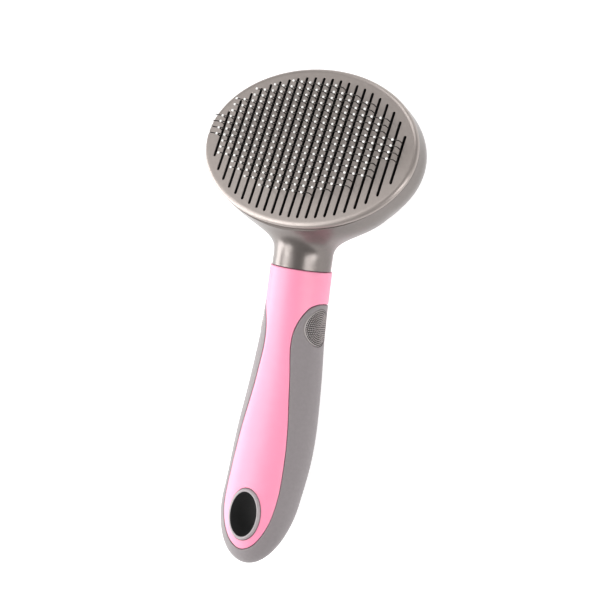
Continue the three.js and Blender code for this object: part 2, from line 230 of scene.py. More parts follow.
def turned(profile, centre=(0.0, 0.0), count=48):
    """A shape of revolution about z: profile is (radius, z) from one end to the other."""
    return ring_stack([oval(r, r, z, count, centre) for r, z in profile])


def block(centre, size, bevel=0.0):
    bm = bmesh.new()
    bmesh.ops.create_cube(bm, size=1.0)
    bmesh.ops.scale(bm, vec=size, verts=bm.verts)
    bmesh.ops.translate(bm, vec=centre, verts=bm.verts)
    if bevel:
        bmesh.ops.bevel(bm, geom=bm.edges[:], offset=bevel, segments=3, profile=0.5, affect="EDGES")
    mesh = bpy.data.meshes.new("block")
    bm.to_mesh(mesh)
    bm.free()
    return mesh


def sweep(path, side, radius, sides=8):
    """Round wire along a path; side gives the direction across it at each point."""
    path = np.asarray(path, float)
    along = np.gradient(path, axis=0)
    along /= np.linalg.norm(along, axis=1, keepdims=True)
    across = np.asarray(side, float) * np.ones_like(path)
    across -= along * np.sum(across * along, axis=1, keepdims=True)
    across /= np.linalg.norm(across, axis=1, keepdims=True)
    third = np.cross(along, across)
    turn = np.arange(sides) * 2 * math.pi / sides
    return ring_stack([
        path[i] + radius * (np.outer(np.cos(turn), across[i]) + np.outer(np.sin(turn), third[i]))
        for i in range(len(path))
    ])


def mirrored(x, y):
    return [(x, y), (-x, y), (-x, -y), (x, -y)]


# ---------- materials ----------

def linear(red, green, blue):
    """Linear colour from 0 to 255 values."""
    return tuple(((c / 255 + 0.055) / 1.055) ** 2.4 for c in (red, green, blue)) + (1.0,)


def material(name, colour, shade, scale, roughness, spread=0.06, bump=0.05, bump_scale=None, **sockets):
    """A moulded finish: colour drifts towards shade, and roughness and bump follow fine noise."""
    made = bpy.data.materials.new(name)
    made.use_nodes = True
    nodes, links = made.node_tree.nodes, made.node_tree.links
    shader = nodes["Principled BSDF"]
    place = nodes.new("ShaderNodeTexCoord")
    drift = nodes.new("ShaderNodeTexNoise")
    drift.inputs["Scale"].default_value = scale
    drift.inputs["Detail"].default_value = 5
    links.new(place.outputs["Object"], drift.inputs["Vector"])
    mix = nodes.new("ShaderNodeMix")
    mix.data_type = "RGBA"
    mix.inputs["A"].default_value = colour
    mix.inputs["B"].default_value = shade
    links.new(drift.outputs["Fac"], mix.inputs["Factor"])
    links.new(mix.outputs["Result"], shader.inputs["Base Color"])
    grain = nodes.new("ShaderNodeTexNoise")
    grain.inputs["Scale"].default_value = bump_scale or scale * 8
    grain.inputs["Detail"].default_value = 3
    links.new(place.outputs["Object"], grain.inputs["Vector"])
    span = nodes.new("ShaderNodeMapRange")
    span.inputs["To Min"].default_value = roughness - spread
    span.inputs["To Max"].default_value = roughness + spread
    links.new(grain.outputs["Fac"], span.inputs["Value"])
    links.new(span.outputs["Result"], shader.inputs["Roughness"])
    relief = nodes.new("ShaderNodeBump")
    relief.inputs["Strength"].default_value = bump
    relief.inputs["Distance"].default_value = 0.0002
    links.new(grain.outputs["Fac"], relief.inputs["Height"])
    links.new(relief.outputs["Normal"], shader.inputs["Normal"])
    for socket, value in sockets.items():
        shader.inputs[socket.replace("_", " ")].default_value = value
    return made


# The shell is the plate's pearl plastic, coloured darker as painted shade on its side walls and neck.
SHELL_PAINTED_SHADE = material(
    "pearl_shell_painted_shade", linear(126, 119, 115), linear(115, 108, 105), 900, 0.3, 0.05, 0.04, 6000,
    Metallic=0.6, Coat_Weight=0.2, Coat_Roughness=0.15)
PLATE_FINISH = material(
    "pearl_plate", linear(169, 160, 155), linear(157, 148, 143), 900, 0.38, 0.05, 0.04, 6000,
    Metallic=0.55, Coat_Weight=0.1, Coat_Roughness=0.25)
# Near-black painted shade for the slot walls and the plate's back, which are the plate's own plastic.
SLOT_PAINTED_SHADE = material(
    "slot_wall_painted_shade", linear(22, 21, 21), linear(14, 13, 13), 600, 0.7, 0.08, 0.1, 4000)
# Pin base: dark plastic, made near-black as painted shade seen through the slots.
BASE_DARK_AND_SHADE = material(
    "dark_base_and_painted_shade", linear(12, 12, 12), linear(7, 7, 7), 400, 0.7, 0.08, 0.15, 2500)
BUTTON_FINISH = material(
    "pink_button", linear(250, 149, 181), linear(245, 142, 174), 500, 0.32, 0.05, 0.06, 5000,
    Coat_Weight=0.3, Coat_Roughness=0.15)
PINK_FINISH = material(
    "pink_gloss", linear(253, 152, 184), linear(250, 146, 178), 300, 0.5, 0.05, 0.03, 4000,
    Coat_Weight=0.45, Coat_Roughness=0.42, Sheen_Weight=0.15, Sheen_Roughness=0.4)
GRIP_FINISH = material(
    "grey_rubber", linear(142, 135, 136), linear(130, 123, 125), 700, 0.62, 0.08, 0.25, 5000,
    Sheen_Weight=0.3, Sheen_Roughness=0.4)
PAD_FINISH = material(
    "pad_rubber", linear(190, 182, 180), linear(178, 170, 169), 700, 0.5, 0.08, 0.15, 5000)
# The pad rubber made dark, as painted shade in the sunk field between the dots.
FIELD_PAINTED_SHADE = material(
    "pad_field_painted_shade", linear(60, 56, 55), linear(50, 47, 46), 700, 0.65, 0.08, 0.15, 5000)
EYELET_FINISH = material(
    "eyelet_rubber", linear(170, 162, 164), linear(158, 151, 153), 700, 0.4, 0.08, 0.15, 5000)
# Near-black painted shade for the eyelet's bore and the ring round each thumb pad's field.
DARK_PAINTED_SHADE = material(
    "painted_shade_dark", linear(22, 21, 21), linear(15, 14, 15), 600, 0.75, 0.08, 0.2, 4000)
WIRE_FINISH = material(
    "pin_wire", linear(58, 56, 54), linear(40, 38, 37), 2000, 0.35, 0.1, 0.1, 9000, Metallic=0.6)
BEAD_FINISH = material(
    "bead_tip", linear(254, 253, 251), linear(250, 249, 246), 1500, 0.3, 0.05, 0.03, 6000,
    Coat_Weight=0.5, Coat_Roughness=0.15)
FIXING_FINISH = material(
    "zinc_steel", linear(176, 176, 178), linear(140, 139, 138), 1500, 0.32, 0.1, 0.12, 7000, Metallic=1.0)


# ---------- handle ----------

def stations_at(along):
    place = np.clip(along / STATION_STEP, 0, len(STATIONS) - 1 - 1e-9)
    i = np.floor(place).astype(int)
    w = (place - i)[..., None]
    ends = np.vstack([2 * STATIONS[0] - STATIONS[1], STATIONS, 2 * STATIONS[-1] - STATIONS[-2]])
    p0, p1, p2, p3 = (ends[i + k] for k in range(4))
    m1, m2 = (p2 - p0) / 2, (p3 - p1) / 2
    return (
        (2 * w**3 - 3 * w**2 + 1) * p1 + (w**3 - 2 * w**2 + w) * m1
        + (3 * w**2 - 2 * w**3) * p2 + (w**3 - w**2) * m2
    )


def section(along, inset=0.0):
    """Half width, half thickness and rise of the handle, at distances along it."""
    along = np.asarray(along, float)
    values = stations_at(along)
    cap = HANDLE["length"] - inset - HANDLE["cap_from"]
    into = np.clip((along - HANDLE["cap_from"]) / cap, 0, 1)
    taper = np.sqrt(1 - into**2)
    share = np.clip((along - HANDLE["thin_from"]) / (HANDLE["length"] - HANDLE["thin_from"]), 0, 1)
    thinned = HANDLE["thinning"] * share**2 * (3 - 2 * share)
    half_x = np.maximum((values[..., 0] - inset) * taper, 0.02)
    half_z = np.maximum((values[..., 1] - thinned - inset) * taper, 0.02)
    return half_x, half_z, values[..., 2] + thinned + HANDLE["cap_rise"] * into


def surface(along, turn, inset=0.0):
    half_x, half_z, rise = section(along, inset)
    return np.stack([half_x * np.sin(turn), -along, rise + half_z * np.cos(turn)], -1)


def surface_normal(along, turn):
    step = 1e-3
    low = np.minimum(along, HANDLE["length"] - 2 * step)
    round_it = surface(low, turn + step) - surface(low, turn - step)
    down_it = surface(low + step, turn) - surface(low, turn)
    normal = np.cross(round_it, down_it)
    normal /= np.linalg.norm(normal, axis=-1, keepdims=True)
    outward = np.stack([np.sin(turn), np.zeros_like(turn), np.cos(turn)], -1)
    flip = np.sum(normal * outward, -1, keepdims=True) < 0
    normal = np.where(flip, -normal, normal)
    pole = (along > HANDLE["length"] - 1e-2)[..., None]
    return np.where(pole, np.array([0.0, -1.0, 0.0]), normal)


def surface_height(x, y, back=False):
    """z of the handle's front or back face over a point of the handle frame."""
    half_x, half_z, rise = section(-y)
    lift = half_z * np.sqrt(np.clip(1 - (x / half_x) ** 2, 0, 1))
    return rise - lift if back else rise + lift


def panel_edge(offset, count):
    """Turn and distance along the handle of the panel's edge, moved outwards across the surface by offset."""
    knots = [(104, COLLAR_END)] + PANEL_EDGE + [(0, PANEL_TIP), (-22, 116.1)]
    knots = np.array([(math.radians(t), a) for t, a in knots])
    width = section(knots[:, 1])[0]
    flat = np.stack([knots[:, 0] * width, knots[:, 1]], -1)
    dense = []
    for i in range(1, len(flat) - 2):
        p0, p1, p2, p3 = flat[i - 1:i + 3]
        d = [max(np.linalg.norm(b - a), 1e-6) ** 0.5 for a, b in ((p0, p1), (p1, p2), (p2, p3))]
        m1 = d[1] * ((p1 - p0) / d[0] - (p2 - p0) / (d[0] + d[1]) + (p2 - p1) / d[1])
        m2 = d[1] * ((p2 - p1) / d[1] - (p3 - p1) / (d[1] + d[2]) + (p3 - p2) / d[2])
        for w in np.linspace(0, 1, 40, endpoint=False):
            dense.append(
                (2 * w**3 - 3 * w**2 + 1) * p1 + (w**3 - 2 * w**2 + w) * m1
                + (3 * w**2 - 2 * w**3) * p2 + (w**3 - w**2) * m2)
    dense.append(flat[-2])
    dense = np.array(dense)
    run = np.concatenate([[0], np.cumsum(np.linalg.norm(np.diff(dense, axis=0), axis=1))])
    even = np.linspace(0, run[-1], count)
    edge = np.stack([np.interp(even, run, dense[:, k]) for k in range(2)], -1)
    course = np.gradient(edge, axis=0)
    course[0] = (-1, 0)
    course[-1] = (-1, 0)
    course /= np.linalg.norm(course, axis=1, keepdims=True)
    edge += offset * np.stack([course[:, 1], -course[:, 0]], -1)
    turn = edge[:, 0] / section(edge[:, 1])[0]
    turn[-1] = 0.0
    return turn, edge[:, 1]


def thick_patch(points, normals, quads, depth, lip):
    """A closed skin of some depth under a surface patch, rolled over at its edges."""
    points, normals = np.asarray(points), np.asarray(normals)
    a, b, c = (points[k] for k in quads[len(quads) // 2][:3])
    if np.dot(np.cross(b - a, c - a), normals[quads[len(quads) // 2][0]]) < 0:
        quads = [tuple(reversed(q)) for q in quads]
    size = len(points)
    verts = list(points) + list(points - normals * depth)
    faces = list(quads) + [tuple(size + k for k in reversed(q)) for q in quads]
    directed = {(q[i], q[(i + 1) % len(q)]) for q in quads for i in range(len(q))}
    follow = {a: b for a, b in directed if (b, a) not in directed}
    while follow:
        start = next(iter(follow))
        loop = [start]
        while True:
            following = follow.pop(loop[-1])
            if following == start:
                break
            loop.append(following)
        rim, up = points[loop], normals[loop]
        course = np.roll(rim, -1, 0) - np.roll(rim, 1, 0)
        course /= np.linalg.norm(course, axis=1, keepdims=True)
        out = np.cross(course, up)
        out /= np.linalg.norm(out, axis=1, keepdims=True)
        last = loop
        levels = [(lip * math.sin(t), lip * (1 - math.cos(t))) for t in np.radians([18, 36, 54, 72, 90])]
        levels.append((lip, depth))
        for sideways, down in levels:
            ring = rim + out * sideways - up * down
            fresh = list(range(len(verts), len(verts) + len(loop)))
            verts.extend(ring)
            for i in range(len(loop)):
                k = (i + 1) % len(loop)
                faces.append((last[i], last[k], fresh[k], fresh[i]))
            last = fresh
        foot = [size + k for k in loop]
        for i in range(len(loop)):
            k = (i + 1) % len(loop)
            faces.append((last[i], last[k], foot[k], foot[i]))
    return mesh_from(verts, faces)


def cap_rows(first, count):
    """Distances along the handle from first to its end, closing up towards the end."""
    reach = HANDLE["length"] - HANDLE["cap_from"]
    begin = math.asin((first - HANDLE["cap_from"]) / reach)
    return [HANDLE["cap_from"] + reach * math.sin(t) for t in np.linspace(begin, math.pi / 2, count + 1)[1:]]


def grip_patch():
    """The grey rubber: the handle's surface outside the pink panel and collar."""
    rows, columns = ((170, 110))
    turns, alongs = panel_edge(SEAM["half_gap"] + SEAM["lip"], rows)
    points, normals, quads, index = [], [], [], []
    for i in range(rows):
        count = columns + 1 if i < rows - 1 else columns
        spread = turns[i] + (2 * math.pi - 2 * turns[i]) * np.arange(count) / columns
        along = np.full(count, alongs[i])
        index.append(list(range(len(points), len(points) + count)))
        points.extend(surface(along, spread))
        normals.extend(surface_normal(along, spread))
    index[-1].append(index[-1][0])
    around = 2 * math.pi * np.arange(columns) / columns
    for along in cap_rows(alongs[-1], 14)[:-1]:
        row = list(range(len(points), len(points) + columns))
        index.append(row + [row[0]])
        points.extend(surface(np.full(columns, along), around))
        normals.extend(surface_normal(np.full(columns, along), around))
    for i in range(len(index) - 1):
        for j in range(columns):
            quads.append((index[i][j], index[i][j + 1], index[i + 1][j + 1], index[i + 1][j]))
    points.append(surface(np.array([HANDLE["length"]]), np.array([0.0]))[0])
    normals.append(np.array([0.0, -1.0, 0.0]))
    for j in range(columns):
        quads.append((index[-1][j], index[-1][j + 1], len(points) - 1))
    return thick_patch(points, normals, quads, SKIN["grip"], SEAM["lip"])


def pink_patch():
    """The pink collar and the front panel that runs on from it."""
    rows, front = ((170, 64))
    turns, alongs = panel_edge(-SEAM["half_gap"] - SEAM["lip"], rows)
    points, normals, quads, index = [], [], [], []
    ring = np.concatenate([
        np.linspace(-turns[0], turns[0], front + 1),
        np.linspace(turns[0], 2 * math.pi - turns[0], front + 1)[1:-1],
    ])
    collar_rows = 12
    for i in range(collar_rows + 1):
        seam = SEAM["half_gap"] + SEAM["lip"] + SEAM_LEAN * surface(np.zeros(len(ring)), ring)[:, 2]
        along = seam + (alongs[0] - seam) * i / collar_rows
        row = list(range(len(points), len(points) + len(ring)))
        index.append(row + [row[0]])
        points.extend(surface(along, ring))
        normals.extend(surface_normal(along, ring))
    for i in range(collar_rows):
        for j in range(len(ring)):
            quads.append((index[i][j], index[i][j + 1], index[i + 1][j + 1], index[i + 1][j]))
    above = index[-1][:front + 1]
    for i in range(1, rows - 1):
        spread = np.linspace(-turns[i], turns[i], front + 1)
        along = np.full(front + 1, alongs[i])
        row = list(range(len(points), len(points) + front + 1))
        points.extend(surface(along, spread))
        normals.extend(surface_normal(along, spread))
        for j in range(front):
            quads.append((above[j], above[j + 1], row[j + 1], row[j]))
        above = row
    tip = np.array([alongs[-1]]), np.array([0.0])
    points.append(surface(*tip)[0])
    normals.append(surface_normal(*tip)[0])
    for j in range(front):
        quads.append((above[j], above[j + 1], len(points) - 1))
    return thick_patch(points, normals, quads, SKIN["panel"], SEAM["lip"])


def core_loft():
    inset = SKIN["core"]
    reach = HANDLE["length"] - inset - HANDLE["cap_from"]
    around = 2 * math.pi * np.arange(72) / 72
    alongs = list(np.linspace(1.5, HANDLE["cap_from"], 40))
    alongs += [HANDLE["cap_from"] + reach * math.sin(t) for t in np.linspace(0, math.pi / 2, 14)[1:]]
    return ring_stack([surface(np.full(72, a), around, inset) for a in alongs])


def eyelet_bar(grow):
    size = EYELET["outer_x"] + grow, EYELET["outer_y"] + grow
    return bar(*size, -PAST_HANDLE, PAST_HANDLE, (0, -EYELET["along"]))


def pad_bar(side, grow):
    """An oval bar across the handle at a thumb pad."""
    shape = bar(PAD["half_z"] + grow, PAD["half_y"] + grow, 0, PAD["reach"])
    shape.transform(Matrix.Rotation(math.radians(90 * side), 4, "Y"))
    shape.transform(Matrix.Translation((0, -PAD["along"], PAD["rise"])))
    return shape


def handle_core():
    body = combine(core_loft(), pink_patch(), "UNION")
    radius = NECK["tang_radius"] + NECK["clearance"]
    socket = turned([(radius, -5), (radius, NECK["tang_length"] + 2)])
    socket.transform(Matrix.Rotation(math.radians(90), 4, "X"))
    socket.transform(Matrix.Translation((0, 0, NECK["tang_drop"])))
    place = (0, -COLLAR_SCREW["along"])
    seat = turned([(BOSS["counterbore"], -PAST_HANDLE), (BOSS["counterbore"], COLLAR_SCREW["land"])], place)
    bore = turned([(BOSS["bore"], -PAST_HANDLE), (BOSS["bore"], 0)], place)
    return cut(body, socket, seat, bore, eyelet_bar(EYELET["gap"]))


def grip_overmold():
    return cut(grip_patch(), eyelet_bar(EYELET["gap"]), pad_bar(1, PAD["gap"]), pad_bar(-1, PAD["gap"]))


def hanging_eyelet():
    """A rubber ring through the handle whose lips stand up round the hole, front and back."""
    share = [1.0, 1.0, 0.95, 0.82, 0.62, 0.42, 0.24, 0.1, 0.02, 0.0]
    lift = [-3.0, 0.3, 0.62, 0.86, 1.0, 0.97, 0.8, 0.5, 0.1, -0.5]
    count = 120
    turn = np.arange(count) * 2 * math.pi / count
    rings = []
    for back in (False, True):
        face = []
        draft = EYELET["draft"] if back else 0
        inner_x, inner_y = EYELET["inner_x"] - draft, EYELET["inner_y"] - draft
        rim = EYELET["back_lift"] if back else EYELET["lift"]
        for s, height in zip(share, lift):
            x = (inner_x + s * (EYELET["outer_x"] - inner_x)) * np.cos(turn)
            y = (inner_y + s * (EYELET["outer_y"] - inner_y)) * np.sin(turn)
            y -= EYELET["along"]
            grow = height * rim if height > 0 else height
            z = surface_height(x, y, back) + (-grow if back else grow)
            face.append(np.stack([x, y, z], -1))
        rings += face[::-1] if back else face
    verts = [p for ring in rings for p in ring]
    faces = []
    for i in range(len(rings)):
        faces += band(i * count, (i + 1) % len(rings) * count, count)
    mesh = mesh_from(verts, faces)
    # The bore and the inner slopes of the lips take near-black painted shade.
    for polygon in mesh.polygons:
        x, y = polygon.center.x, polygon.center.y + EYELET["along"]
        inside = (x / EYELET["inner_x"]) ** 2 + (y / EYELET["inner_y"]) ** 2 < 1.1
        polygon.material_index = 1 if inside else 0
    return mesh


def side_of_handle(y, z):
    """x of the handle's right-hand side over a point of its y-z plane."""
    half_x, half_z, rise = section(-np.asarray(y))
    return half_x * np.sqrt(np.clip(1 - ((z - rise) / half_z) ** 2, 0, 1))


def pad_point(share, turn):
    """y and z at a share of the way from the middle of a thumb pad to its edge."""
    y = -PAD["along"] + PAD["half_y"] * share * np.cos(turn)
    return y, PAD["rise"] + PAD["half_z"] * share * np.sin(turn)


def thumb_pad(side):
    """A pad that follows the handle's side: a smooth rim round a sunk field with rings of raised dots."""
    turn = np.arange(96) * 2 * math.pi / 96
    sunk = PAD["sunk"]
    profile = [(share, -sunk) for share in np.linspace(0.06, PAD["field"], 12)]
    profile += [(0.935, -sunk * 0.6), (0.95, -sunk * 0.15), (0.965, -0.04), (0.985, -0.14), (1.0, -0.35)]
    profile += [(1.0, -1.7)] + [(share, -1.7) for share in np.linspace(0.94, 0.06, 8)]
    rings = []
    for share, lift in profile:
        y, z = pad_point(share, turn)
        rings.append(np.stack([side * (side_of_handle(y, z) + lift), y, z], -1))
    dots = []
    for ring in range(PAD["rings"]):
        number = max(1, 6 * ring)
        for k in range(number):
            angle = 2 * math.pi * (k + 0.5 * (ring % 2)) / number
            dots.append(raised_dot(side, *pad_point(0.87 * ring / (PAD["rings"] - 1), angle)))
    pad, dots = ring_stack(rings), joined(*dots)
    mesh = joined(pad, dots)
    # The sunk field takes painted shade, and the ring from the field up to the rim a darker painted shade.
    for polygon in mesh.polygons:
        y, z = polygon.center.y + PAD["along"], polygon.center.z - PAD["rise"]
        share = math.hypot(y / PAD["half_y"], z / PAD["half_z"])
        if polygon.index >= len(pad.polygons) or share >= PAD["groove"]:
            polygon.material_index = 0
        else:
            polygon.material_index = 1 if share < PAD["field"] else 2
    return mesh


def raised_dot(side, y, z):
    here = side_of_handle(y, z)
    foot = np.array([side * (here - PAD["sunk"]), y, z])
    step = 0.05
    dy = np.array([side * (side_of_handle(y + step, z) - here), step, 0])
    dz = np.array([side * (side_of_handle(y, z + step) - here), 0, step])
    dy /= np.linalg.norm(dy)
    dz /= np.linalg.norm(dz)
    out = np.cross(dy, dz) * side
    sides = 12
    turn = np.arange(sides) * 2 * math.pi / sides
    rings = []
    for t in np.radians([-20, 10, 40, 68]):
        r, h = PAD["dot"] * math.cos(t), 0.5 * math.sin(t)
        rings.append(foot + out * h + r * (np.outer(np.cos(turn), dy) + np.outer(np.sin(turn), dz)))
    return ring_stack(rings)


# ---------- head ----------

def slot_x(row):
    return (row - (SLOT["count"] - 1) / 2) * SLOT["pitch"]


def slot_reach(x):
    return math.sqrt(1 - (x / SLOT["half_x"]) ** 2)


def slot_outline(row, grow, z):
    x = slot_x(row)
    reach = slot_reach(x)
    radius = SLOT["width"] / 2
    high = SLOT["top"] * reach - radius
    low = -SLOT["bottom"] * reach + radius
    turn = np.linspace(0, math.pi, 11)
    top = np.stack([x + (radius + grow) * np.cos(turn), high + (radius + grow) * np.sin(turn)], -1)
    bottom = np.stack([x - (radius + grow) * np.cos(turn), low - (radius + grow) * np.sin(turn)], -1)
    flat = np.vstack([top, bottom])
    return np.column_stack([flat, np.full(len(flat), float(z))])


def plate_outline(inset, z, count=200):
    turn = np.arange(count) * 2 * math.pi / count
    a, b = PLATE["half_x"], PLATE["half_y"]
    across = np.stack([np.cos(turn) / a, np.sin(turn) / b], -1)
    across /= np.linalg.norm(across, axis=1, keepdims=True)
    edge = np.stack([a * np.cos(turn), b * np.sin(turn)], -1) - inset * across
    return np.column_stack([edge, np.full(count, float(z))])


def rounded_levels(reach, drop, steps):
    """Inset and z down a quarter oval, from flat to upright."""
    turns = [math.pi / 2 * (i / steps) for i in range(steps + 1)]
    return [(reach * (1 - math.sin(t)), -drop * (1 - math.cos(t))) for t in turns]


def face_plate():
    bm = bmesh.new()

    def add_ring(points):
        return [bm.verts.new(p) for p in points]

    def bridge(first, second):
        for i in range(len(first)):
            k = (i + 1) % len(first)
            bm.faces.new((first[i], first[k], second[k], second[i]))

    def edges_of(ring):
        return [bm.edges.get((ring[i], ring[(i + 1) % len(ring)])) for i in range(len(ring))]

    thick = PLATE["thick"]
    levels = [(PLATE["edge"] + 0.25, 0.0)] + rounded_levels(PLATE["edge"], PLATE["drop"], 8)
    levels += [(0.0, -thick + 0.2), (0.2, -thick)]
    rings = [add_ring(plate_outline(inset, z)) for inset, z in levels]
    for first, second in zip(rings, rings[1:]):
        bridge(first, second)
    front_edges, rear_edges = edges_of(rings[0]), edges_of(rings[-1])
    for row in range(SLOT["count"]):
        bevel = SLOT["bevel"]
        steps = [(bevel + 0.06, 0.0)] + [(grow, z) for grow, z in rounded_levels(bevel, bevel, 4)]
        steps += [(0.0, -thick)]
        rings = [add_ring(slot_outline(row, grow, z)) for grow, z in steps]
        for first, second in zip(rings, rings[1:]):
            bridge(first, second)
        front_edges += edges_of(rings[0])
        rear_edges += edges_of(rings[-1])
    for edges in (front_edges, rear_edges):
        bmesh.ops.triangle_fill(bm, use_beauty=True, edges=edges)
    bmesh.ops.recalc_face_normals(bm, faces=bm.faces)
    # Slot walls and the plate's back take the near-black painted shade.
    for face in bm.faces:
        centre = face.calc_center_median()
        inside = (centre.x / PLATE["half_x"]) ** 2 + (centre.y / PLATE["half_y"]) ** 2 < 0.9
        in_slot = inside and -thick < centre.z < -SLOT["bevel"]
        face.material_index = 1 if in_slot or centre.z < -thick + 0.01 else 0
    mesh = bpy.data.meshes.new("plate")
    bm.to_mesh(mesh)
    bm.free()
    height = -thick / 2 - POST["end"]
    size = (POST["width"], POST["length"], height)
    posts = [block((x, y, POST["end"] + height / 2), size, 0.2) for x, y in mirrored(POST["x"], POST["y"])]
    return joined(mesh, *posts)


def pin_roots(row):
    """Where the pins of a row stand; rows come in pairs of equal length."""
    pair_x = (slot_x(row - row % 2) + slot_x(row - row % 2 + 1)) / 2
    reach = PIN_FIELD["half_y"] * math.sqrt(1 - (pair_x / PIN_FIELD["half_x"]) ** 2)
    count = 2 * math.floor(reach / PIN["spacing"] + 0.5)
    return [PIN_FIELD["middle"] + ((count - 1) / 2 - i) * PIN["spacing"] for i in range(count)]


def pin_path(x, y, lean, sway):
    """A wire that stands straight, bends at the knee and leans on to its bead."""
    knee, bend = PIN["knee"], PIN["bend"]
    slope = lean / (PIN["bead_z"] - knee)
    points = [(x, y, COMB["top"] - 1.2), (x, y, COMB["top"] + 1.0), (x, y, knee - bend - 1)]
    for t in np.linspace(0, 1, 6):
        z = knee - bend + 2 * bend * t
        shift = slope * bend * t * t
        points.append((x + sway * shift / lean, y - shift, z))
    points.append((x + sway * 0.6, y - lean * 0.6, knee + 0.6 * (PIN["bead_z"] - knee)))
    points.append((x + sway, y - lean, PIN["bead_z"]))
    return points


def bead(centre):
    bm = bmesh.new()
    bmesh.ops.create_uvsphere(bm, u_segments=12, v_segments=8, radius=PIN["bead"])
    bmesh.ops.translate(bm, vec=centre, verts=bm.verts)
    mesh = bpy.data.meshes.new("bead")
    bm.to_mesh(mesh)
    bm.free()
    return mesh


def pin_row(row):
    chance = random.Random(row + 1)
    x = slot_x(row)
    roots = pin_roots(row)
    length = roots[0] - roots[-1] + 2 * COMB["overhang"]
    middle = (COMB["top"] + COMB["bottom"]) / 2
    strip = block((x, PIN_FIELD["middle"], middle), (0.5, length, COMB["top"] - COMB["bottom"]), 0.08)
    wires, beads = [], []
    for y in roots:
        lean = PIN["lean"] + chance.uniform(-0.12, 0.12)
        sway = chance.uniform(-PIN["sway"], PIN["sway"])
        path = pin_path(x, y, lean, sway)
        wires.append(sweep(path, (1, 0, 0), PIN["wire"]))
        beads.append(bead(path[-1]))
    steel = joined(strip, *wires)
    tips = joined(*beads)
    mesh = joined(steel, tips)
    for polygon in mesh.polygons:
        polygon.material_index = 1 if polygon.index >= len(steel.polygons) else 0
    return mesh


def bowl_value(x, y, z, half_x, half_y, depth):
    ring = np.sqrt((x / half_x) ** 2 + (y / half_y) ** 2)
    drop = np.clip((SHELL["straight_to"] - z) / depth, 0, None)
    power = SHELL["power"]
    return (ring**power + drop**power) ** (1 / power) - 1


def neck_place(y, z):
    """Distance along the handle, and height over the neck's middle line, of points of the head frame."""
    c, s = math.cos(HANDLE_LEAN), math.sin(HANDLE_LEAN)
    dy, dz = y - HANDLE_ROOT.y, z - HANDLE_ROOT.z
    along = -(c * dy + s * dz)
    return along, -s * dy + c * dz - NECK["rise"] * along


def neck_value(x, y, z):
    """Below zero inside the neck, which fans out towards the head."""
    along, up = neck_place(y, z)
    share = np.clip((-along - FLARE["from"]) / (FLARE["to"] - FLARE["from"]), 0, 1)
    grown = share**2 * (3 - 2 * share)
    half_x = NECK["radius"] * (1 + FLARE["wide"] * grown)
    half_z = NECK["radius"] * (1 + np.where(up > 0, FLARE["front"], FLARE["back"]) * grown)
    return np.sqrt((x / half_x) ** 2 + (up / half_z) ** 2) - 1


def distance(value, x, y, z):
    """Turns a field with its surface at zero into near distances in mm."""
    step = 0.05
    here = value(x, y, z)
    slopes = [
        value(x + step, y, z) - value(x - step, y, z),
        value(x, y + step, z) - value(x, y - step, z),
        value(x, y, z + step) - value(x, y, z - step),
    ]
    steepness = np.sqrt(sum(g * g for g in slopes)) / (2 * step)
    return here / np.maximum(steepness, 1e-3)


def shell_distance(x, y, z):
    bowl = distance(
        lambda a, b, c: bowl_value(a, b, c, SHELL["half_x"], SHELL["half_y"], SHELL["depth"]), x, y, z)
    neck = distance(neck_value, x, y, z)
    along = neck_place(y, z)[0]
    neck = np.maximum(neck, NECK["start"] - along)
    fillet = NECK["fillet"]
    h = np.clip(fillet - np.abs(bowl - neck), 0, None) / fillet
    blend = np.minimum(bowl, neck) - h * h * fillet / 4
    return np.maximum(np.maximum(blend, along - 3.0), z - 1.5)


def net(value, low, high, step):
    """Surface net over the zero level of a field."""
    axes = [np.arange(a, b + step, step) for a, b in zip(low, high)]
    x, y, z = np.meshgrid(*axes, indexing="ij")
    field = value(x, y, z)
    shape = np.array(field.shape) - 1
    total = np.zeros((*shape, 3))
    count = np.zeros(shape)
    crossings = []
    for axis in range(3):
        lower = [slice(None)] * 3
        upper = [slice(None)] * 3
        lower[axis], upper[axis] = slice(0, -1), slice(1, None)
        a, b = field[tuple(lower)], field[tuple(upper)]
        i, j, k = np.nonzero((a < 0) != (b < 0))
        share = a[i, j, k] / (a[i, j, k] - b[i, j, k])
        place = np.stack([axes[0][i], axes[1][j], axes[2][k]], -1)
        place[:, axis] += share * step
        crossings.append((axis, i, j, k))
        first, second = [n for n in range(3) if n != axis]
        for da in (0, 1):
            for db in (0, 1):
                cell = np.stack([i, j, k], -1)
                cell[:, first] -= da
                cell[:, second] -= db
                good = np.all((cell >= 0) & (cell < shape), axis=1)
                np.add.at(total, tuple(cell[good].T), place[good])
                np.add.at(count, tuple(cell[good].T), 1)
    used = count > 0
    index = np.full(shape, -1)
    index[used] = np.arange(used.sum())
    verts = total[used] / count[used][:, None]
    faces = []
    for axis, i, j, k in crossings:
        first, second = [n for n in range(3) if n != axis]
        corners = []
        for da, db in ((0, 0), (1, 0), (1, 1), (0, 1)):
            cell = np.stack([i, j, k], -1)
            cell[:, first] -= da
            cell[:, second] -= db
            good = np.all((cell >= 0) & (cell < shape), axis=1)
            safe = np.where(good[:, None], cell, 0)
            corners.append(np.where(good, index[tuple(safe.T)], -1))
        quad = np.stack(corners, -1)
        quad = quad[np.all(quad >= 0, axis=1)]
        faces.extend(map(tuple, quad))
    return verts, faces


def settle(value, verts, rounds=3):
    """Moves points onto the zero level of a field, in short steps."""
    step, longest = 0.02, 0.4
    for _ in range(rounds):
        x, y, z = verts.T
        here = value(x, y, z)
        slope = np.stack([
            value(x + step, y, z) - value(x - step, y, z),
            value(x, y + step, z) - value(x, y - step, z),
            value(x, y, z + step) - value(x, y, z - step),
        ], -1) / (2 * step)
        size = np.maximum(np.sum(slope * slope, axis=1), 0.2)
        move = slope * (here / size)[:, None]
        far = np.maximum(np.linalg.norm(move, axis=1) / longest, 1)
        verts = verts - move / far[:, None]
    return verts


